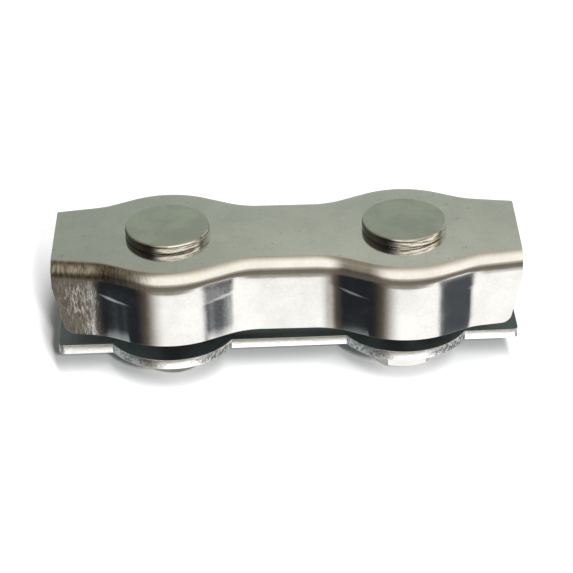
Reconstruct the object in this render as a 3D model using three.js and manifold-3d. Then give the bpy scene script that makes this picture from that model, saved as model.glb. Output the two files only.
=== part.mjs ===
// Two-bolt wire rope clip. A wavy pressed channel and a flat clamp plate close round two ropes that lie side
// by side along X. Two square-neck bolts hang from the channel's roof, and a hexagon nut on each one lifts the
// plate. Millimetres, +Z up: the bolts' ends stand on Z = 0 and the middle of the clip is on the Z axis.
import * as THREE from "three";
import { mergeVertices } from "three/addons/utils/BufferGeometryUtils.js";
import Module from "manifold-3d";

// Sheet-metal channel
const channelLength = 54.8;
const boltPitch = 27.96;
const bulgeHalfWidth = 10.4;
const waistHalfWidth = 7.18;
const endHalfWidth = 6.84;
const channelHeight = 9.2;
const channelSheet = 1.3;
const bendRadius = 1.75; // outside radius where the roof turns down into a flange
const bulgeRadius = 10.2; // outside radius of the wave round a bolt, seen from above
const hollowRadius = 8.0; // outside radius where a wave runs out into the straight
const flankAngle = THREE.MathUtils.degToRad(25.6);
const flankShare = 0.9; // the most of a flank's length that its outer hollow may take up
const endTaperAngle = THREE.MathUtils.degToRad(9);
const flangeCutBack = 1.3; // how much shorter the flange is at its free edge than the roof
const flangeCutDepth = 6.2; // height of the slanting stretch of a flange's end
const flangeCornerRadius = 1.2;

// Clamp plate
const plateLength = 55.0;
const plateSheet = 1.3;
const barHalfWidth = 4.6;
const padHalfWidth = 8.6;
const padRadius = 8.2;
const plateCornerRadius = 0.7;
const plateDrop = 3.0; // open height between the flanges' free edges and the plate, with the nuts run down
const plateYaw = THREE.MathUtils.degToRad(1.17); // the plate hangs loose and sits a little turned
const plateHoleClearance = 0.4; // all round, between the plate's hole and the bolt's thread

// Bolts
const threadDiameter = 5.0;
const threadInset = 0.2; // the plain shank that stands in for the thread is this much smaller all round
const neckSide = threadDiameter;
const neckLength = 3.0;
const neckClearance = 0.1; // on each side of the neck in the channel's square hole
const headDiameter = 10.0;
const headHeight = 1.2;
const headEdgeRadius = 0.25;
const boltEndLength = 0.7; // what stands out below the nut
const boltEndChamfer = 0.5;

// Nuts
const nutAcrossFlats = 8.0;
const nutHeight = 3.75;
const nutChamferAngle = THREE.MathUtils.degToRad(30);
const nutTurnLeft = THREE.MathUtils.degToRad(-81.3);
const nutTurnRight = THREE.MathUtils.degToRad(-55.6);
const nutBoreDiameter = threadDiameter; // plain stand-in for the thread

// Finish of the round shapes
const arcSteps = 8;
const roundSteps = 36;
const edgeSteps = 4;

// Heights and places worked out from the sizes above
const nutBottom = boltEndLength;
const plateBottom = nutBottom + nutHeight;
const plateTop = plateBottom + plateSheet;
const flangeEdge = plateTop + plateDrop;
const roofTop = flangeEdge + channelHeight;
const roofUnderside = roofTop - channelSheet;
const boltX = boltPitch / 2;
const overcut = 2; // how far a cutting shape runs past the piece that it cuts

const wasm = await Module();
wasm.setup();

function solidOf(geometry) {
  const bare = geometry.clone();
  bare.deleteAttribute("normal");
  bare.deleteAttribute("uv");
  const merged = mergeVertices(bare, 1e-4);
  return new wasm.Manifold(new wasm.Mesh({
    numProp: 3,
    vertProperties: new Float32Array(merged.attributes.position.array),
    triVerts: new Uint32Array(merged.index.array),
  }));
}

function meshOf(name, solid, material) {
  const cut = solid.getMesh();
  const geometry = new THREE.BufferGeometry();
  geometry.setAttribute("position", new THREE.BufferAttribute(new Float32Array(cut.vertProperties), 3));
  geometry.setIndex(new THREE.BufferAttribute(new Uint32Array(cut.triVerts), 1));
  geometry.computeVertexNormals();
  const mesh = new THREE.Mesh(geometry, material);
  mesh.name = name;
  return mesh;
}

function steel(color, roughness) {
  return new THREE.MeshStandardMaterial({ color, roughness, metalness: 1 });
}

// A bar of the given outline in XY, standing on bottomZ.
function prism(shape, bottomZ, height) {
  return new THREE.ExtrudeGeometry(shape, { depth: height, bevelEnabled: false, curveSegments: arcSteps })
    .translate(0, 0, bottomZ);
}

function block(sizeX, sizeY, sizeZ, x, y, z) {
  return solidOf(new THREE.BoxGeometry(sizeX, sizeY, sizeZ).translate(x, y, z));
}

function turned(profile) {
  const points = profile.map(([radius, z]) => new THREE.Vector2(radius, z));
  return new THREE.LatheGeometry(points, roundSteps).rotateX(Math.PI / 2);
}

// Points on a round stretch: centre + reach * (sin, cos) as the angle from +Y runs from start to end.
function arcPoints(centre, reach, start, end) {
  const points = [];
  for (let step = 0; step <= arcSteps; step += 1) {
    const angle = start + (end - start) * step / arcSteps;
    points.push(new THREE.Vector2(centre.x + reach * Math.sin(angle), centre.y + reach * Math.cos(angle)));
  }
  return points;
}

// One quarter of the channel's outline, from the middle of the waist to past the end, moved inwards by inset.
function quarterOutline(inset) {
  const bulge = new THREE.Vector2(boltX, bulgeHalfWidth - bulgeRadius);
  const reach = bulgeRadius + hollowRadius;
  const flankRise = Math.sin(flankAngle);
  const flankRun = Math.cos(flankAngle);
  const inner = new THREE.Vector2(0, waistHalfWidth + hollowRadius);
  inner.x = bulge.x - (reach - flankRun * (inner.y - bulge.y)) / flankRise;
  const taperRise = Math.sin(endTaperAngle);
  const taperRun = Math.cos(endTaperAngle);
  const determinant = taperRise * flankRun - taperRun * flankRise;
  // Where the lines at this distance outside the flank and the tapered end meet.
  const meeting = (distance) => {
    const taperLine = taperRise * channelLength / 2 + taperRun * endHalfWidth + distance;
    const flankLine = flankRise * bulge.x + flankRun * bulge.y + bulgeRadius + distance;
    return new THREE.Vector2(
      (taperLine * flankRun - taperRun * flankLine) / determinant,
      (taperRise * flankLine - taperLine * flankRise) / determinant,
    );
  };
  const flankTop = new THREE.Vector2(flankRise, flankRun).multiplyScalar(bulgeRadius).add(bulge);
  const flankRoom = meeting(0).distanceTo(flankTop);
  const outerRadius = Math.min(hollowRadius, flankShare * flankRoom / Math.tan((flankAngle - endTaperAngle) / 2));
  const outer = meeting(outerRadius);
  const endX = channelLength / 2 + overcut;
  const endY = endHalfWidth - overcut * Math.tan(endTaperAngle) - inset / taperRun;
  return [
    ...arcPoints(inner, -(hollowRadius + inset), 0, -flankAngle),
    ...arcPoints(bulge, bulgeRadius - inset, -flankAngle, flankAngle),
    ...arcPoints(outer, -(outerRadius + inset), flankAngle, endTaperAngle),
    new THREE.Vector2(endX, endY),
  ];
}

function waveOutline(inset) {
  const quarter = quarterOutline(inset);
  const backwards = [...quarter].reverse();
  return new THREE.Shape([
    ...quarter,
    ...backwards.map((point) => new THREE.Vector2(point.x, -point.y)),
    ...quarter.map((point) => new THREE.Vector2(-point.x, -point.y)),
    ...backwards.map((point) => new THREE.Vector2(-point.x, point.y)),
  ]);
}

// A block with the channel's wavy outline whose top edge is rounded, reaching down past the flanges' edges.
function waveBlock(inset, topZ, edgeRadius) {
  const bottomZ = flangeEdge - overcut - edgeRadius;
  return new THREE.ExtrudeGeometry(waveOutline(inset), {
    depth: topZ - bottomZ - edgeRadius,
    bevelThickness: edgeRadius,
    bevelSize: edgeRadius,
    bevelOffset: -edgeRadius,
    bevelSegments: edgeSteps,
  }).translate(0, 0, bottomZ);
}

// The room beyond a flange's slanting end and rounded lower corner, as an XZ outline for the end at +X.
function flangeEndCut(side) {
  const endX = channelLength / 2;
  const slantTop = flangeEdge + flangeCutDepth;
  const lowerX = endX - flangeCutBack;
  const cut = new THREE.Shape();
  cut.moveTo(endX + overcut, slantTop);
  cut.lineTo(endX, slantTop);
  cut.lineTo(lowerX, flangeEdge + flangeCornerRadius);
  cut.absarc(lowerX - flangeCornerRadius, flangeEdge + flangeCornerRadius, flangeCornerRadius, 0,
    -Math.PI / 2, true);
  cut.lineTo(lowerX - flangeCornerRadius, flangeEdge - overcut);
  cut.lineTo(endX + overcut, flangeEdge - overcut);
  const depth = 2 * (bulgeHalfWidth + overcut);
  const geometry = new THREE.ExtrudeGeometry(cut, { depth, bevelEnabled: false, curveSegments: arcSteps })
    .rotateX(Math.PI / 2)
    .translate(0, depth / 2, 0);
  return solidOf(side > 0 ? geometry : geometry.rotateZ(Math.PI));
}

function makeChannel() {
  const outside = solidOf(waveBlock(0, roofTop, bendRadius));
  const inside = solidOf(waveBlock(channelSheet, roofUnderside, bendRadius - channelSheet));
  const trimHeight = channelHeight + overcut;
  const trim = block(channelLength, 2 * (bulgeHalfWidth + overcut), trimHeight, 0, 0,
    flangeEdge + trimHeight / 2);
  const holeSide = neckSide + 2 * neckClearance;
  let channel = outside.subtract(inside).intersect(trim);
  for (const side of [-1, 1]) {
    channel = channel.subtract(flangeEndCut(side));
    channel = channel.subtract(block(holeSide, holeSide, channelSheet + 2 * overcut, side * boltX, 0,
      roofUnderside + channelSheet / 2));
  }
  return channel;
}

function makePlate() {
  const thread = threadDiameter / 2;
  const cornerX = plateLength / 2 - plateCornerRadius;
  const cornerY = barHalfWidth - plateCornerRadius;
  const bar = new THREE.Shape();
  bar.absarc(cornerX, cornerY, plateCornerRadius, 0, Math.PI / 2, false);
  bar.absarc(-cornerX, cornerY, plateCornerRadius, Math.PI / 2, Math.PI, false);
  bar.absarc(-cornerX, -cornerY, plateCornerRadius, Math.PI, 1.5 * Math.PI, false);
  bar.absarc(cornerX, -cornerY, plateCornerRadius, 1.5 * Math.PI, 2 * Math.PI, false);
  let plate = solidOf(prism(bar, plateBottom, plateSheet));
  for (const side of [-1, 1]) {
    for (const edge of [-1, 1]) {
      const pad = new THREE.CylinderGeometry(padRadius, padRadius, plateSheet, roundSteps * 2)
        .rotateX(Math.PI / 2)
        .translate(side * boltX, edge * (padHalfWidth - padRadius), plateBottom + plateSheet / 2);
      plate = plate.add(solidOf(pad));
    }
  }
  for (const side of [-1, 1]) {
    const hole = new THREE.CylinderGeometry(thread + plateHoleClearance, thread + plateHoleClearance,
      plateSheet + 2 * overcut, roundSteps)
      .rotateX(Math.PI / 2)
      .translate(side * boltX, 0, plateBottom + plateSheet / 2);
    plate = plate.subtract(solidOf(hole));
  }
  return plate;
}

function makeBolt() {
  const headRadius = headDiameter / 2;
  const headTop = roofTop + headHeight;
  const shankRadius = threadDiameter / 2 - threadInset;
  const edge = arcPoints(new THREE.Vector2(headRadius - headEdgeRadius, headTop - headEdgeRadius),
    headEdgeRadius, Math.PI / 2, 0);
  const round = turned([
    [0, 0],
    [shankRadius - boltEndChamfer, 0],
    [shankRadius, boltEndChamfer],
    [shankRadius, roofTop],
    [headRadius, roofTop],
    ...edge.map((point) => [point.x, point.y]),
    [0, headTop],
  ]);
  const neck = block(neckSide, neckSide, neckLength + headHeight / 2, 0, 0,
    roofTop - neckLength + (neckLength + headHeight / 2) / 2);
  return solidOf(round).add(neck);
}

function makeNut() {
  const flatRadius = nutAcrossFlats / 2;
  const cornerRadius = flatRadius / Math.cos(Math.PI / 6);
  const chamferHeight = (cornerRadius - flatRadius) * Math.tan(nutChamferAngle);
  const hexagon = new THREE.CylinderGeometry(cornerRadius, cornerRadius, nutHeight, 6)
    .rotateX(Math.PI / 2)
    .rotateZ(Math.PI / 2)
    .translate(0, 0, nutHeight / 2);
  const chamfers = turned([
    [0, 0],
    [flatRadius, 0],
    [cornerRadius, chamferHeight],
    [cornerRadius, nutHeight - chamferHeight],
    [flatRadius, nutHeight],
    [0, nutHeight],
  ]).scale(1.001, 1.001, 1);
  const bore = new THREE.CylinderGeometry(nutBoreDiameter / 2, nutBoreDiameter / 2,
    nutHeight + 2 * overcut, roundSteps)
    .rotateX(Math.PI / 2)
    .translate(0, 0, nutHeight / 2);
  return solidOf(hexagon).intersect(solidOf(chamfers)).subtract(solidOf(bore));
}

const clip = new THREE.Group();
clip.add(meshOf("channel", makeChannel(), steel(0xb4b6ae, 0.22)));

const plate = meshOf("clamp_plate", makePlate(), steel(0xc2c2bd, 0.3));
plate.rotation.z = plateYaw;
clip.add(plate);

for (const [side, hand, nutTurn] of [[-1, "left", nutTurnLeft], [1, "right", nutTurnRight]]) {
  const bolt = meshOf(`bolt_${hand}`, makeBolt(), steel(0xa9ada4, 0.28));
  bolt.position.x = side * boltX;
  clip.add(bolt);
  const nut = meshOf(`nut_${hand}`, makeNut(), steel(0xbfc0bc, 0.25));
  nut.position.set(side * boltX, 0, nutBottom);
  nut.rotation.z = nutTurn;
  clip.add(nut);
}

export default clip;
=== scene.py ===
import math

from types import SimpleNamespace

import bpy
from mathutils import Matrix, Vector


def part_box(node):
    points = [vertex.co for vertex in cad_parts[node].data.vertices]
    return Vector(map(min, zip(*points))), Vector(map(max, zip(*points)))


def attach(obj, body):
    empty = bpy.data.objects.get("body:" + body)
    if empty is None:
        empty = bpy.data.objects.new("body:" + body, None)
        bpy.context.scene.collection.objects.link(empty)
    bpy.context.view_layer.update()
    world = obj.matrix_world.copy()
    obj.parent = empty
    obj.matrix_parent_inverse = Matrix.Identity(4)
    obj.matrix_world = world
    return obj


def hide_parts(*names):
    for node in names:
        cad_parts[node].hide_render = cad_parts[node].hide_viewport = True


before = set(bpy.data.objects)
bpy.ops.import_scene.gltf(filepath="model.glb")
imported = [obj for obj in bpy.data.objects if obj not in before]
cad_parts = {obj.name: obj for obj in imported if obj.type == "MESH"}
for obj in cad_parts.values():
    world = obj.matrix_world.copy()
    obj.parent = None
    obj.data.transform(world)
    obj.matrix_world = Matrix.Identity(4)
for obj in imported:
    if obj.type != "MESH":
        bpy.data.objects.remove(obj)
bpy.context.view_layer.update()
bpy.ops.object.select_all(action="DESELECT")

# ---------------------------------------------------------------- Setting
# The clip stands on a white table and is seen from the front and a little above, through a long lens that
# leans slightly to one side.
camera_data = bpy.data.cameras.new("camera")
camera_data.lens = 132.4
camera_data.sensor_width = 36.0
camera_data.clip_start = 0.005
camera = bpy.data.objects.new("camera", camera_data)
bpy.context.scene.collection.objects.link(camera)
bpy.context.scene.camera = camera

elevation = math.radians(32.34)
azimuth = math.radians(-0.40)
lean = math.radians(1.24)
aim = Vector((-0.00006, 0.0, 0.01001))
distance = 0.2534
back = Vector((
    math.sin(azimuth) * math.cos(elevation),
    -math.cos(azimuth) * math.cos(elevation),
    math.sin(elevation),
))
level = Vector((math.cos(azimuth), math.sin(azimuth), 0.0))
upright = back.cross(level)
right = level * math.cos(lean) - upright * math.sin(lean)
up = level * math.sin(lean) + upright * math.cos(lean)
facing = Matrix((right, up, back)).transposed().to_4x4()
camera.matrix_world = Matrix.Translation(aim + back * distance) @ facing


class Shade:
    """A socket in a node tree. Sums, products and the like of these add the nodes that work them out."""

    def __init__(self, tree, socket=None):
        self.tree = tree
        self.socket = socket

    def node(self, kind, settings=None, inputs=None, output=0):
        """Adds a node: its settings first, then values or other shades on its sockets."""
        made = self.tree.nodes.new("ShaderNode" + kind)
        for name, value in (settings or {}).items():
            if name == "stops":
                ramp = made.color_ramp
                while len(ramp.elements) < len(value):
                    ramp.elements.new(1.0)
                for element, (place, colour) in zip(ramp.elements, value):
                    shades = colour if isinstance(colour, tuple) else (colour, colour, colour)
                    element.position = place
                    element.color = (*shades, 1.0)
            elif name == "interpolation":
                made.color_ramp.interpolation = value
            else:
                setattr(made, name, value)
        for name, value in (inputs or {}).items():
            if isinstance(value, Shade):
                self.tree.links.new(value.socket, made.inputs[name])
            else:
                made.inputs[name].default_value = value
        return Shade(self.tree, made.outputs[output])

    def output(self, name):
        """Another output of the node that this shade comes from."""
        return Shade(self.tree, self.socket.node.outputs[name])

    def maths(self, operation, *values):
        return self.node("Math", {"operation": operation}, dict(enumerate(values)))

    def __add__(self, other):
        return self.maths("ADD", self, other)

    __radd__ = __add__

    def __sub__(self, other):
        return self.maths("SUBTRACT", self, other)

    def __rsub__(self, other):
        return self.maths("SUBTRACT", other, self)

    def __mul__(self, other):
        return self.maths("MULTIPLY", self, other)

    __rmul__ = __mul__

    def __truediv__(self, other):
        return self.maths("DIVIDE", self, other)

    def between(self, low, high):
        """0 below low, 1 above high, and smooth from one to the other."""
        return self.node("MapRange", {"interpolation_type": "SMOOTHSTEP"},
                         {"Value": self, "From Min": low, "From Max": high})

    def tinted(self, other):
        """This colour multiplied by the other."""
        return self.node("VectorMath", {"operation": "MULTIPLY"}, {0: self, 1: other})

    def mix(self, first, second):
        """The first colour where this shade is 0 and the second where it is 1."""
        made = self.tree.nodes.new("ShaderNodeMix")
        made.data_type = "RGBA"
        self.tree.links.new(self.socket, made.inputs["Factor"])
        for name, value in (("A", first), ("B", second)):
            socket = [s for s in made.inputs if s.name == name and s.type == "RGBA"][0]
            if isinstance(value, Shade):
                self.tree.links.new(value.socket, socket)
            else:
                socket.default_value = (*value, 1.0)
        return Shade(self.tree, [s for s in made.outputs if s.type == "RGBA"][0])


# What polished steel mirrors: a white table in front of the clip, a dark brown line at the horizon, a
# large cream light above it, and a dark side of the room on the left. Everything that isn't polished
# sees plain white light.
def around(degrees):
    """A place on the ring that runs from behind, under the clip, to the front, overhead and back again."""
    return (degrees + 180.0) / 360.0


world = bpy.data.worlds.new("studio")
bpy.context.scene.world = world
world.use_nodes = True
world.node_tree.nodes.clear()
room = Shade(world.node_tree)
across = room.node("SeparateXYZ", inputs={"Vector": room.node("TexCoord")})
front_back = across.output("Y")
height = across.output("Z")
ring = room.maths("ARCTAN2", height, front_back * -1.0) / math.tau + 0.5
bright_side = room.node("ValToRGB", {"stops": [
    (around(-180), (0.36, 0.37, 0.33)),
    (around(-150), (0.60, 0.60, 0.58)),
    (around(-100), (1.02, 1.02, 1.00)),
    (around(-31), (1.04, 1.03, 1.00)),
    (around(-28), (0.30, 0.28, 0.24)),
    (around(-22), (0.19, 0.17, 0.135)),
    (around(2), (0.16, 0.14, 0.11)),
    (around(20), (0.50, 0.455, 0.385)),
    (around(30), (1.00, 0.95, 0.87)),
    (around(68), (1.02, 0.96, 0.88)),
    (around(85), (0.84, 0.79, 0.69)),
    (around(98), (0.63, 0.585, 0.485)),
    (around(118), (0.39, 0.365, 0.29)),
    (around(135), (0.355, 0.365, 0.315)),
    (around(152), (0.350, 0.372, 0.322)),
    (around(180), (0.36, 0.37, 0.33)),
]}, {"Fac": ring})
dark_side = room.node("ValToRGB", {"stops": [
    (around(-180), (0.20, 0.21, 0.20)),
    (around(-120), (0.36, 0.39, 0.39)),
    (around(-68), (0.38, 0.42, 0.42)),
    (around(-52), (0.016, 0.018, 0.022)),
    (around(-33), (0.013, 0.014, 0.017)),
    (around(-24), (0.10, 0.09, 0.075)),
    (around(0), (0.095, 0.082, 0.065)),
    (around(22), (0.050, 0.048, 0.045)),
    (around(34), (0.060, 0.056, 0.048)),
    (around(42), (0.11, 0.10, 0.075)),
    (around(60), (0.18, 0.156, 0.117)),
    (around(85), (0.26, 0.23, 0.17)),
    (around(118), (0.22, 0.205, 0.147)),
    (around(152), (0.27, 0.28, 0.235)),
    (around(180), (0.30, 0.31, 0.28)),
]}, {"Fac": ring})
edge_of_dark = room.node("ValToRGB", {"stops": [
    (around(-180), 0.30),
    (around(-90), 0.72),
    (around(-34), 0.715),
    (around(0), 0.60),
    (around(45), 0.49),
    (around(80), 0.65),
    (around(98), 0.80),
    (around(118), 0.92),
    (around(140), 0.60),
    (around(180), 0.30),
]}, {"Fac": ring}) - 1.0
brown_lit = (across - edge_of_dark).between(-0.34, 0.04)
lit = (across - edge_of_dark).between(-0.17, 0.20)
shaded = brown_lit.mix(dark_side, (0.17, 0.14, 0.105))
mirrored = lit.mix(shaded, bright_side)
# A dark grey patch low on the right shades the flanks that face it.
low_right = across.between(0.565, 0.66) * (1.0 - across.between(0.84, 0.95))
below = height.between(-0.84, -0.72) * (1.0 - height.between(-0.48, -0.30))
mirrored = (low_right * below).mix(mirrored, (0.06, 0.068, 0.075))
polished = room.node("LightPath").output("Is Glossy Ray")
mirror_strength = 1.30
plain_strength = 0.13
mirror_light = room.node("Background", inputs={"Color": mirrored, "Strength": mirror_strength})
plain_light = room.node("Background", inputs={"Color": (1.0, 0.985, 0.97, 1.0), "Strength": plain_strength})
light = room.node("MixShader", inputs={0: polished, 1: plain_light, 2: mirror_light})
world_output = world.node_tree.nodes.new("ShaderNodeOutputWorld")
world.node_tree.links.new(light.socket, world_output.inputs["Surface"])

bpy.ops.mesh.primitive_plane_add(size=3.0, location=(0.0, 0.0, -0.00002))
table = bpy.context.object
table.name = "table"
table.visible_glossy = False
paint = bpy.data.materials.new("table_white")
paint.use_nodes = True
painted = paint.node_tree.nodes["Principled BSDF"]
painted.inputs["Base Color"].default_value = (0.93, 0.93, 0.93, 1.0)
painted.inputs["Roughness"].default_value = 0.9
painted.inputs["Specular IOR Level"].default_value = 0.0
table.data.materials.append(paint)

# Two lamps above the viewer's right shoulder keep the shadow narrow: it shows only at the left of the
# clip and just below it.
lamp_distance = 0.6
for name, degrees_up, degrees_aside, lamp_width, lamp_height, energy in (
    ("tall_lamp", 54.0, 12.5, 0.045, 0.34, 4.75),
    ("low_lamp", 34.0, 10.0, 0.03, 0.04, 2.2),
):
    lamp_data = bpy.data.lights.new(name, "AREA")
    lamp_data.shape = "RECTANGLE"
    lamp_data.size = lamp_width
    lamp_data.size_y = lamp_height
    lamp_data.energy = energy
    lamp = bpy.data.objects.new(name, lamp_data)
    bpy.context.scene.collection.objects.link(lamp)
    raised = math.radians(degrees_up)
    aside = math.radians(degrees_aside)
    lamp.location = Vector((math.sin(aside) * math.cos(raised), -math.cos(aside) * math.cos(raised),
                            math.sin(raised))) * lamp_distance
    lamp.rotation_euler = (Vector((0.0, 0.0, 0.0)) - lamp.location).to_track_quat("-Z", "Y").to_euler()
    lamp.visible_glossy = False
bpy.context.scene.view_settings.view_transform = "Standard"


# ---------------------------------------------------------------- Channel
# The upper half of the clip: one strip of stainless sheet, 1.3 mm thick, whose long edges are pressed
# down into wavy flanges that bulge round the bolts. Both bolts pass through square holes in its roof.
def only(thing):
    """Makes this the one selected and active object."""
    bpy.ops.object.select_all(action="DESELECT")
    thing.select_set(True)
    bpy.context.view_layer.objects.active = thing


def edit(thing):
    """Opens the object's mesh for editing."""
    only(thing)
    bpy.ops.object.mode_set(mode="EDIT")


def done():
    """Closes the mesh that is being edited."""
    bpy.ops.object.mode_set(mode="OBJECT")


def pick(thing, kind, wanted):
    """In edit mode, selects the vertices, edges or faces whose middle passes the test and nothing else."""
    bpy.ops.mesh.select_all(action="DESELECT")
    bpy.ops.object.mode_set(mode="OBJECT")
    mesh = thing.data
    rows = {"VERT": mesh.vertices, "EDGE": mesh.edges, "FACE": mesh.polygons}[kind]
    for row in rows:
        if kind == "VERT":
            middle = row.co
        else:
            middle = sum((mesh.vertices[i].co for i in row.vertices), Vector()) / len(row.vertices)
        row.select = bool(wanted(middle))
    bpy.ops.object.mode_set(mode="EDIT")
    bpy.ops.mesh.select_mode(type=kind)


def select_everything():
    bpy.ops.mesh.select_all(action="SELECT")


def pull(move):
    """Extrudes what is selected by this move."""
    bpy.ops.mesh.extrude_region_move(TRANSFORM_OT_translate={"value": move})


def start_point(name, place):
    """A new object of one vertex at the place, left in edit mode and selected."""
    bpy.ops.mesh.primitive_plane_add(size=0.001, location=(0.0, 0.0, 0.0))
    thing = bpy.context.object
    thing.name = name
    edit(thing)
    bpy.ops.mesh.select_mode(type="VERT")
    select_everything()
    bpy.ops.mesh.merge(type="CENTER")
    bpy.ops.transform.translate(value=place)
    return thing


def apply(thing, kind, settings):
    """Adds a modifier with these settings and applies it."""
    only(thing)
    modifier = thing.modifiers.new(kind.lower(), kind)
    for name, value in settings.items():
        setattr(modifier, name, value)
    bpy.ops.object.modifier_apply(modifier=modifier.name)


def merged(thing, other, operation):
    """Joins the other solid to this one, or cuts this one by it, and removes the other."""
    apply(thing, "BOOLEAN", {"operation": operation, "object": other, "solver": "EXACT"})
    bpy.data.objects.remove(other)


low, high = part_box("channel")
bolt_x = (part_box("bolt_right")[0].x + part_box("bolt_right")[1].x) / 2
sheet = 0.0013
bend = 0.00175
half_length = high.x
waist = 0.00718
tip = 0.00684
wave_radius = 0.0102
hollow_radius = 0.0080
flank = math.radians(25.6)
taper = math.radians(9.0)

# Seen from above, a flange's wave is a crown round each bolt between two hollows that turn the other way.
crown_y = high.y - wave_radius
reach = wave_radius + hollow_radius
inner_y = waist + hollow_radius
inner_x = bolt_x - (reach - math.cos(flank) * (inner_y - crown_y)) / math.sin(flank)
taper_line = math.sin(taper) * half_length + math.cos(taper) * tip + hollow_radius
flank_line = math.sin(flank) * bolt_x + math.cos(flank) * crown_y + reach
outer_x = (taper_line * math.cos(flank) - math.cos(taper) * flank_line) / math.sin(taper - flank)
outer_y = (math.sin(taper) * flank_line - taper_line * math.sin(flank)) / math.sin(taper - flank)


def run_to(place, steps):
    """Extrudes the line's free end to the place in equal steps."""
    free = bpy.context.edit_object
    bpy.ops.object.mode_set(mode="OBJECT")
    here = next(v.co.copy() for v in free.data.vertices if v.select)
    bpy.ops.object.mode_set(mode="EDIT")
    for _ in range(steps):
        pull((Vector(place) - here) / steps)


def turn(centre_x, centre_y, angle, steps=14):
    """Carries the line's free end round an upright axis."""
    bpy.ops.mesh.spin(steps=steps, angle=-angle, center=(centre_x, centre_y, 0.0), axis=(0.0, 0.0, 1.0))


def off(centre_x, centre_y, radius, angle):
    """The point of an arc whose outward direction is turned by the angle from +Y towards +X."""
    return (centre_x + radius * math.sin(angle), centre_y + radius * math.cos(angle), high.z)


channel = start_point("channel_body", (-half_length, tip, high.z))
run_to(off(-outer_x, outer_y, -hollow_radius, -taper), 1)
turn(-outer_x, outer_y, flank - taper)
run_to(off(-bolt_x, crown_y, wave_radius, -flank), 10)
turn(-bolt_x, crown_y, -2 * flank)
run_to(off(-inner_x, inner_y, -hollow_radius, flank), 10)
turn(-inner_x, inner_y, flank)
run_to((inner_x, waist, high.z), 8)
turn(inner_x, inner_y, flank)
run_to(off(bolt_x, crown_y, wave_radius, -flank), 10)
turn(bolt_x, crown_y, -2 * flank)
run_to(off(outer_x, outer_y, -hollow_radius, flank), 10)
turn(outer_x, outer_y, flank - taper)
run_to((half_length, tip, high.z), 1)

# The line is pulled down into a flange and drawn in to the middle as half of the roof, then the corner
# is bent round.
select_everything()
pull((0.0, 0.0, low.z - high.z))
pick(channel, "VERT", lambda at: at.z > high.z - 1e-6)
pull((0.0, 0.0, 0.0))
bpy.ops.transform.resize(value=(1.0, 0.0, 1.0), center_override=(0.0, 0.0, high.z))
pick(channel, "EDGE", lambda at: at.z > high.z - 1e-6 and at.y > tip - 0.001)
bpy.ops.mesh.bevel(offset=bend, offset_type="OFFSET", segments=12, profile=0.5, affect="EDGES",
                   clamp_overlap=False, loop_slide=True)


def rows_at(heights):
    """Cuts level rows of edges into the flange at these heights above its free edge."""
    for height_up in heights:
        select_everything()
        bpy.ops.mesh.bisect(plane_co=(0.0, 0.0, low.z + height_up), plane_no=(0.0, 0.0, 1.0),
                            threshold=1e-7)


# Each flange's end slants in towards its free edge and has a rounded corner.
cut_back = 0.0013
slant_height = 0.0062
corner = 0.0012
corner_reach = 0.81 * corner  # how far the rounding runs along each side of the blunt corner
rows_at([slant_height])
for side in (-1, 1):
    pick(channel, "VERT", lambda at: at.z < low.z + 1e-6 and at.x * side > half_length - 1e-6)
    bpy.ops.transform.translate(value=(-side * cut_back, cut_back * math.tan(taper), 0.0))
pick(channel, "VERT", lambda at: at.z < low.z + 1e-6 and abs(at.x) > half_length - cut_back - 1e-6)
bpy.ops.mesh.bevel(offset=corner_reach, offset_type="OFFSET", segments=8, affect="VERTICES")
crease_rows = [0.0048 + 0.00014 * row for row in range(13)]
rows_at([0.0015, 0.0023, 0.0031, 0.0038, 0.0044, *crease_rows, 0.0069, 0.0071])

# The bend starts a little way down the flange, where the sheet already leans in by a few degrees.
for lean_from, width_left in ((0.0070, 0.9994), (0.0073, 0.9977)):
    pick(channel, "VERT", lambda at: at.z > low.z + lean_from)
    bpy.ops.transform.resize(value=(1.0, width_left, 1.0), center_override=(0.0, 0.0, 0.0))

# Pressing the waves leaves a crease on every flank. It starts at the hollow, under the bend, and dies
# out as it runs down towards the crown. The sheet below it is pressed in, a little more at each step
# down.
flat_out = bolt_x + wave_radius * math.sin(flank)
flat_in = bolt_x - wave_radius * math.sin(flank)
crease_steps = 7
crease_step = 0.000007
crease_run_out = 0.0045
crease_run_in = 0.0006
crease_top = 0.00615
crease_fall = 0.00125
crease_spread = 0.00034
deepest_along = 0.40
for side in (-1, 1):
    for start, finish in (
        (flat_out + crease_run_out, flat_out - crease_run_in),
        (flat_in - crease_run_out, flat_in + crease_run_in),
    ):
        outward = 1 if start > finish else -1
        normal = Vector((side * outward * math.sin(flank), math.cos(flank), 0.0))
        for step in range(crease_steps):
            depth = step / (crease_steps - 1)

            def below_crease(at):
                along = (at.x * side - start) / (finish - start)
                line = crease_top - crease_fall * along - crease_spread * depth
                within = abs(along - deepest_along) * 2.0 < 1.0 - 0.80 * depth
                return 0.0 <= along <= 1.0 and within and at.z < low.z + line

            pick(channel, "VERT", below_crease)
            bpy.ops.transform.translate(value=normal * -crease_step)

select_everything()
bpy.ops.mesh.remove_doubles(threshold=1e-6)
bpy.ops.mesh.normals_make_consistent(inside=False)
done()
apply(channel, "MIRROR", {"use_axis": (False, True, False), "merge_threshold": 1e-5})
if sum(face.normal.z for face in channel.data.polygons) < 0:
    edit(channel)
    select_everything()
    bpy.ops.mesh.flip_normals()
    done()
apply(channel, "SOLIDIFY", {"thickness": sheet, "offset": -1.0, "use_even_offset": True,
                            "use_quality_normals": True})

# Thickening tips the rims of the ends outward a little, so they are flattened back to the channel's length.
for side in (-1, 1):
    edit(channel)
    pick(channel, "VERT", lambda at: at.x * side > half_length + 1e-7)
    bpy.ops.transform.resize(value=(0.0, 1.0, 1.0), center_override=(side * half_length, 0.0, 0.0))
    done()

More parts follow.
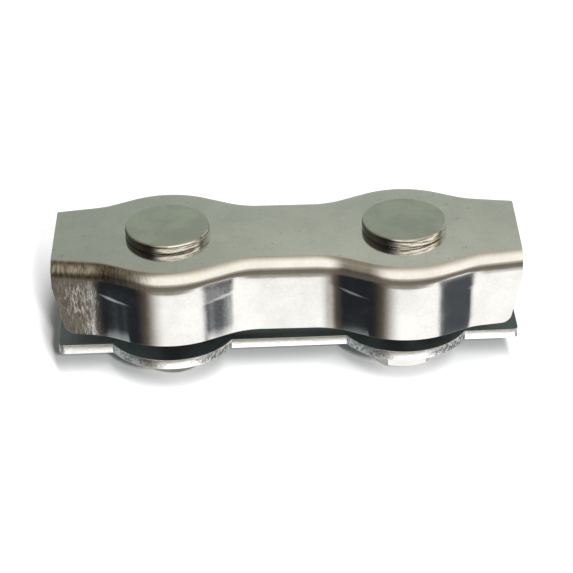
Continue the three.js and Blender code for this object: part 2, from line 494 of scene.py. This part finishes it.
# Square holes take the bolts' necks.
hole_side = 0.0052
for side in (-1, 1):
    bpy.ops.mesh.primitive_cube_add(size=hole_side, location=(side * bolt_x, 0.0, high.z - sheet / 2))
    merged(channel, bpy.context.object, "DIFFERENCE")
apply(channel, "BEVEL", {"width": 0.00020, "segments": 4, "limit_method": "ANGLE",
                         "angle_limit": math.radians(50)})
only(channel)
bpy.ops.object.shade_smooth_by_angle(angle=math.radians(35))
apply(channel, "WEIGHTED_NORMAL", {"weight": 100, "keep_sharp": True})


def steel(name, shine, roughness):
    """Starts a stainless steel with a cloudy colour, uneven polish and small dents, to be worked on."""
    material = bpy.data.materials.new(name)
    material.use_nodes = True
    material.node_tree.nodes["Principled BSDF"].inputs["Metallic"].default_value = 1.0
    tree = Shade(material.node_tree)
    where = tree.node("TexCoord").output("Object")
    place = tree.node("SeparateXYZ", inputs={"Vector": where})
    facing = tree.node("SeparateXYZ", inputs={"Vector": where.output("Normal")})
    cloud = tree.node("TexNoise", inputs={"Vector": where, "Scale": 260.0, "Detail": 4.0, "Roughness": 0.6})
    speck = tree.node("TexNoise", inputs={
        "Vector": where, "Scale": 2600.0, "Detail": 3.0, "Roughness": 0.7})
    dull = tuple(part * 0.88 for part in shine)
    return SimpleNamespace(
        material=material, tree=tree, where=where, cloud=cloud, speck=speck,
        x=place.output("X"), y=place.output("Y"), z=place.output("Z"),
        facing_aside=facing.output("X"), facing_up=facing.output("Z"),
        colour=(cloud * 0.6 + speck * 0.4).between(0.33, 0.66).mix(dull, shine),
        rough=roughness + (speck - 0.5) * (roughness * 0.5),
        relief=cloud * 0.6 + speck * 0.1,
    )


def finish(thing, look, dents):
    """Links the look's colour, roughness and relief, with dents this deep, and puts it on the piece."""
    surface = look.material.node_tree.nodes["Principled BSDF"]
    links = look.material.node_tree.links
    links.new(look.colour.socket, surface.inputs["Base Color"])
    links.new(look.rough.socket, surface.inputs["Roughness"])
    bump = look.tree.node("Bump", inputs={"Strength": 1.0, "Distance": dents, "Height": look.relief})
    links.new(bump.socket, surface.inputs["Normal"])
    thing.data.materials.clear()
    thing.data.materials.append(look.material)


# The roof is painted greener than the sides, darker towards its left end and lighter towards the front:
# painted reflection and painted shade of what it mirrors. It has a few dark freckles too.
look = steel("channel_polish", (0.77, 0.765, 0.755), 0.11)
roof = look.facing_up.between(0.93, 0.995)
# Painted shade darkens the roof's left end, and a painted sheen lightens it towards the front.
roof_painted_shade_left = 1.0 - look.x.between(-0.027, 0.004)
roof_painted_sheen_front = (1.0 - look.y.between(-0.0075, 0.006)) * (1.0 - roof_painted_shade_left)
roof_painted_reflection_tint = roof_painted_shade_left.mix(roof_painted_sheen_front.mix((0.98, 1.0, 0.98), (1.16, 1.16, 1.13)), (0.79, 0.83, 0.79))
blotch = look.tree.node("TexNoise", inputs={
    "Vector": look.where, "Scale": 420.0, "Detail": 3.0, "Roughness": 0.6})
look.rough = look.rough + blotch.between(0.45, 0.70) * 0.04
freckle = look.tree.node("TexNoise", inputs={
    "Vector": look.where, "Scale": 900.0, "Detail": 2.0, "Roughness": 0.5})
look.colour = roof.mix(look.colour, look.colour.tinted(roof_painted_reflection_tint))
look.colour = (freckle.between(0.66, 0.74) * 0.35 * roof).mix(look.colour, (0.35, 0.36, 0.33))

# The press has scraped the left end of the front flange: brown and matt, with fine bright upright
# wrinkles. The bend above is a duller gold.
scrape = look.tree.node("TexNoise", inputs={
    "Vector": look.tree.node("Mapping", inputs={
        "Vector": look.where, "Scale": (3.6, 1.0, 0.9), "Rotation": (0.0, 0.30, 0.0)}),
    "Scale": 1100.0, "Detail": 6.0, "Roughness": 0.68, "Distortion": 0.5})
ragged = look.cloud * 0.004 + scrape * 0.004 + look.x
front = 1.0 - look.y.between(-0.006, -0.0045)
side_wall = front * (1.0 - roof)
gold = (1.0 - ragged.between(-0.0165, -0.0105)) * side_wall * look.z.between(0.0160, 0.0167)
scraped = (1.0 - ragged.between(-0.0198, -0.0184)) * side_wall * (1.0 - gold)
wrinkled = (look.x.between(-0.0268, -0.0250) * (1.0 - look.x.between(-0.0235, -0.0218))
            * look.z.between(0.0098, 0.0125) * (1.0 - look.z.between(0.0150, 0.0162)))
wrinkles = (scrape + wrinkled * 0.17).between(0.63, 0.76) * scraped
worn = scrape.between(0.34, 0.66).mix((0.12, 0.10, 0.08), (0.36, 0.315, 0.26))
gold_colour = scrape.between(0.35, 0.65).mix((0.10, 0.09, 0.068), (0.30, 0.275, 0.215))
look.colour = gold.mix(look.colour, gold_colour)
look.colour = (scraped * 0.85).mix(look.colour, worn)
look.colour = wrinkles.mix(look.colour, (0.92, 0.88, 0.83))
look.rough = look.rough + scraped * 0.30 + gold * 0.13
look.relief = look.relief + scraped * scrape * 2.2
finish(channel, look, 0.000018)
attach(channel, "clip_body")
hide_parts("channel")


# ---------------------------------------------------------------- Clamp plate
# A flat bar punched from the same sheet, with a round pad at each bolt. It hangs on the nuts, a little
# turned, and has bright, grainy edges round faces painted a dark grey-green as painted shade under the
# channel.
low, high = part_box("clamp_plate")
yaw = math.radians(1.17)
plate_sheet = high.z - low.z
bar_half = 0.0046
pad_half = 0.0086
pad_radius = 0.0082
plate_corner = 0.0007
plate_end = 0.0275
plate_hole_radius = 0.0029
pad_y = pad_half - pad_radius
pad_turn = math.acos((bar_half - pad_y) / pad_radius)
pad_start = pad_radius * math.sin(pad_turn)

plate = start_point("clamp_plate_body", (-plate_end, -bar_half + plate_corner, high.z))
for side in (1, -1):
    run_to((-side * plate_end, side * (bar_half - plate_corner), high.z), 1)
    turn(-side * (plate_end - plate_corner), side * (bar_half - plate_corner), -math.pi / 2, 6)
    for pad in (-1, 1):
        run_to((side * (pad * bolt_x - pad_start), side * bar_half, high.z), 1)
        turn(side * pad * bolt_x, side * pad_y, -2 * pad_turn, 40)
    run_to((side * (plate_end - plate_corner), side * bar_half, high.z), 1)
    turn(side * (plate_end - plate_corner), side * (bar_half - plate_corner), -math.pi / 2, 6)
select_everything()
bpy.ops.mesh.remove_doubles(threshold=1e-6)
select_everything()
bpy.ops.mesh.edge_face_add()
pull((0.0, 0.0, -plate_sheet))
select_everything()
bpy.ops.mesh.normals_make_consistent(inside=False)
done()
for side in (-1, 1):
    bpy.ops.mesh.primitive_cylinder_add(vertices=96, radius=plate_hole_radius, depth=3 * plate_sheet,
                                        location=(side * bolt_x, 0.0, high.z))
    merged(plate, bpy.context.object, "DIFFERENCE")


def place(thing, turned_by, x):
    """Turns the whole mesh about the upright axis through the origin, then moves it along X."""
    edit(thing)
    select_everything()
    bpy.ops.transform.rotate(value=-turned_by, orient_axis="Z", center_override=(0.0, 0.0, 0.0))
    bpy.ops.transform.translate(value=(x, 0.0, 0.0))
    done()


place(plate, yaw, 0.0)
apply(plate, "BEVEL", {"width": 0.00010, "segments": 3, "limit_method": "ANGLE",
                       "angle_limit": math.radians(40)})
only(plate)
bpy.ops.object.shade_smooth_by_angle(angle=math.radians(35))
# The faces' dark grey-green colour is painted shade; the punched edges are mixed in bright.
look = steel("plate_painted_shade", (0.17, 0.21, 0.225), 0.34)
punched = 1.0 - look.tree.maths("ABSOLUTE", look.facing_up).between(0.30, 0.75)
grain = look.tree.node("TexNoise", inputs={
    "Vector": look.where, "Scale": 3000.0, "Detail": 4.0, "Roughness": 0.75})
aside = look.tree.maths("ABSOLUTE", look.facing_aside)
torn = aside.between(0.20, 0.60) * (1.0 - aside.between(0.80, 0.97) * 0.8)
clean_edge = grain.between(0.30, 0.46).mix((0.74, 0.74, 0.73), (1.0, 1.0, 0.995))
torn_edge = grain.between(0.40, 0.56).mix((0.30, 0.31, 0.30), (1.0, 1.0, 0.99))
look.colour = punched.mix(look.colour, torn.mix(clean_edge, torn_edge))
look.rough = look.rough - punched * 0.12
look.relief = look.relief + punched * grain * (torn * 1.2 + 0.6)
finish(plate, look, 0.00004)
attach(plate, "plate")
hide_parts("clamp_plate")

# ---------------------------------------------------------------- Bolts
# Two like bolts with a low flat head. The square neck under each head sits in the channel's square
# hole, and the shank is rolled to an M5 thread down to its chamfered end.
low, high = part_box("bolt_left")
roof_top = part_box("channel")[1].z
head_radius = (high.x - low.x) / 2
head_height = high.z - roof_top
crown = 0.00009
edge = 0.00032
under = 0.00022
neck_side = 0.0050
neck_length = 0.0030
shank_radius = 0.00222
pitch = 0.0008
thread_radius = 0.00245
root_radius = 0.00200
thread_top = 0.0136


def outline(points):
    """Runs the line on through these places in the upright plane."""
    for radius, height_up in points:
        run_to((radius, 0.0, height_up), 1)


def weld(thing):
    """Merges doubled vertices and turns the faces outward."""
    edit(thing)
    select_everything()
    bpy.ops.mesh.remove_doubles(threshold=1e-7)
    select_everything()
    bpy.ops.mesh.normals_make_consistent(inside=False)
    done()


# Head: half its outline, from the middle of the crowned top to the middle of its flat underside, spun
# round.
bolt = start_point("bolt_left_body", (0.0, 0.0, high.z))
flat = head_radius - edge
outline([(flat * share / 10, high.z - crown * (share / 10) ** 3) for share in range(1, 11)])
rim = [math.radians(90 - 14 * step) for step in range(1, 7)]
outline([(flat + edge * math.cos(a), high.z - crown - edge + edge * math.sin(a)) for a in rim])
run_to((head_radius, 0.0, roof_top + head_height * 0.40), 3)
rim = [math.radians(-20 * step) for step in range(5)]
outline([(head_radius - under + under * math.cos(a), roof_top + under + under * math.sin(a)) for a in rim])
run_to((neck_side / 4, 0.0, roof_top), 2)
run_to((0.0, 0.0, roof_top), 1)
select_everything()
bpy.ops.mesh.spin(steps=96, angle=math.tau, center=(0.0, 0.0, 0.0), axis=(0.0, 0.0, 1.0))
done()
weld(bolt)

# Neck: a square bar with softened corners.
neck_height = neck_length + head_height / 2
bpy.ops.mesh.primitive_cube_add(size=1.0, location=(0.0, 0.0, roof_top - neck_length + neck_height / 2),
                                scale=(neck_side, neck_side, neck_height))
neck = bpy.context.object
only(neck)
bpy.ops.object.transform_apply(location=True, rotation=True, scale=True)
edit(neck)
pick(neck, "EDGE", lambda at: min(abs(at.x), abs(at.y)) > neck_side / 2 - 1e-5)
bpy.ops.mesh.bevel(offset=0.0004, segments=4, profile=0.5)
pick(neck, "FACE", lambda at: at.z < roof_top - neck_length + 1e-6)
bpy.ops.mesh.bevel(offset=0.0003, segments=3, profile=0.5)
done()
merged(bolt, neck, "UNION")

# Shank: plain between the neck and the thread.
shank_top = roof_top - neck_length + 0.0005
shank_foot = thread_top - 0.0004
bpy.ops.mesh.primitive_cylinder_add(vertices=64, radius=shank_radius, depth=shank_top - shank_foot,
                                    location=(0.0, 0.0, (shank_top + shank_foot) / 2))
merged(bolt, bpy.context.object, "UNION")

# Thread: one pitch of its outline, wound up the shank, cut off square at both ends and chamfered below.
foot = -2.3 * pitch
thread = start_point("thread", (root_radius, 0.0, foot))
outline([
    (root_radius, foot + pitch / 8),
    (thread_radius, foot + pitch * 7 / 16),
    (thread_radius, foot + pitch * 9 / 16),
    (root_radius, foot + pitch * 7 / 8),
    (root_radius, foot + pitch),
])
done()
apply(thread, "SCREW", {"axis": "Z", "angle": math.tau, "screw_offset": pitch, "steps": 40,
                        "render_steps": 40, "iterations": math.ceil(thread_top / pitch) + 3,
                        "use_merge_vertices": True, "merge_threshold": 1e-6})
weld(thread)
edit(thread)
for cut_height, way in ((0.0, -1.0), (thread_top, 1.0)):
    select_everything()
    bpy.ops.mesh.bisect(plane_co=(0.0, 0.0, cut_height), plane_no=(0.0, 0.0, way), clear_outer=True,
                        use_fill=True, threshold=1e-7)
select_everything()
bpy.ops.mesh.normals_make_consistent(inside=False)
done()
bpy.ops.mesh.primitive_cylinder_add(vertices=96, radius=thread_radius + 0.0001, depth=0.02,
                                    location=(0.0, 0.0, 0.01 - 1e-6))
turned_end = bpy.context.object
bpy.ops.object.transform_apply(location=True, rotation=True, scale=True)
edit(turned_end)
pick(turned_end, "FACE", lambda at: at.z < 0.0001)
bpy.ops.mesh.bevel(offset=0.0007, segments=1)
done()
merged(thread, turned_end, "INTERSECT")
merged(bolt, thread, "UNION")
weld(bolt)
apply(bolt, "BEVEL", {"width": 0.00003, "segments": 2, "limit_method": "ANGLE",
                      "angle_limit": math.radians(40)})
bpy.ops.object.shade_smooth_by_angle(angle=math.radians(35))

look = steel("bolt_polish", (0.60, 0.59, 0.56), 0.05)
top = look.facing_up.between(0.55, 0.95)
# Painted shade: the head's top is a darker green-grey than the roof, for the darker room its crowned top
# mirrors.
head_top_painted_shade = look.cloud.between(0.38, 0.62).mix((0.48, 0.515, 0.465), (0.56, 0.595, 0.53))
look.colour = top.mix(look.colour, head_top_painted_shade)
# The rim has fine bright lines where it was turned, and its left-facing side is painted near black as a
# painted reflection of the room's dark side, so the lines show at the front.
lines = look.tree.node("TexNoise", inputs={
    "Vector": look.tree.node("Mapping", inputs={"Vector": look.where, "Scale": (0.30, 0.30, 3.0)}),
    "Scale": 1500.0, "Detail": 3.0, "Roughness": 0.6})
head = look.z.between(0.0178, 0.0180) * (1.0 - top)
lined = lines.between(0.42, 0.58).mix((0.20, 0.185, 0.16), (0.95, 0.93, 0.88))
# Painted reflection: the left-facing side of the rim is painted near black.
rim_lines_and_painted_shade = look.facing_aside.between(-0.35, 0.0).mix((0.075, 0.08, 0.09), lined)
look.colour = (head * 0.9).mix(look.colour, rim_lines_and_painted_shade)
look.rough = look.rough + top * 0.14 + head * 0.06
finish(bolt, look, 0.00004)


def copied(thing, name):
    """A second piece like this one, with its own mesh."""
    only(thing)
    bpy.ops.object.duplicate(linked=False)
    bpy.context.object.name = name
    return bpy.context.object


bolts = {"left": bolt, "right": copied(bolt, "bolt_right_body")}
for hand, side in (("left", -1), ("right", 1)):
    place(bolts[hand], 0.0, side * bolt_x)
    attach(bolts[hand], "clip_body")
    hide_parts(f"bolt_{hand}")

# ---------------------------------------------------------------- Nuts
# Two like hexagon nuts, chamfered on both faces, with a plain bore countersunk at both ends. They sit
# under the plate and carry it, each turned its own way.
low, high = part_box("nut_left")
nut_height = high.z - low.z
nut_middle = (low.z + high.z) / 2
across_flats = 0.0080
corner_radius = across_flats / math.sqrt(3)
chamfer = (corner_radius - across_flats / 2) * math.tan(math.radians(30))
bore_radius = 0.00252
sink = 0.00035
left_turn = math.radians(-81.3)
right_turn = math.radians(-55.6)


def solid_round(sides, radius, height_up, turned_by=0.0):
    """An upright prism or cylinder on the nut's middle."""
    bpy.ops.mesh.primitive_cylinder_add(vertices=sides, radius=radius, depth=height_up,
                                        location=(0.0, 0.0, nut_middle), rotation=(0.0, 0.0, turned_by))
    made = bpy.context.object
    bpy.ops.object.transform_apply(location=True, rotation=True, scale=True)
    return made


def grow_ends(thing, half_height, amount, scale):
    """Extrudes both end faces outwards by the amount and scales the new ends."""
    edit(thing)
    for way in (-1, 1):
        end = nut_middle + way * half_height
        pick(thing, "FACE", lambda at: abs(at.z - end) < 1e-6)
        pull((0.0, 0.0, way * amount))
        bpy.ops.transform.resize(value=(scale, scale, 1.0), center_override=(0.0, 0.0, end))
    done()


nut = solid_round(6, corner_radius, nut_height, -math.pi / 2)
nut.name = "nut_left_body"
chamfered = solid_round(128, corner_radius + 0.00001, nut_height - 2 * chamfer)
grow_ends(chamfered, nut_height / 2 - chamfer, chamfer, across_flats / 2 / corner_radius)
merged(nut, chamfered, "INTERSECT")
drill = solid_round(96, bore_radius, nut_height - 2 * sink)
grow_ends(drill, nut_height / 2 - sink, sink * 1.2, 1.16)
merged(nut, drill, "DIFFERENCE")
apply(nut, "BEVEL", {"width": 0.00006, "segments": 2, "limit_method": "ANGLE",
                     "angle_limit": math.radians(25)})
bpy.ops.object.shade_smooth_by_angle(angle=math.radians(30))
finish(nut, steel("nut_bright", (0.82, 0.81, 0.79), 0.30), 0.00003)

nuts = {"left": nut, "right": copied(nut, "nut_right_body")}
for hand, side, turned_by in (("left", -1, left_turn), ("right", 1, right_turn)):
    place(nuts[hand], turned_by, side * bolt_x)
    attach(nuts[hand], f"nut_{hand}")
    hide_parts(f"nut_{hand}")
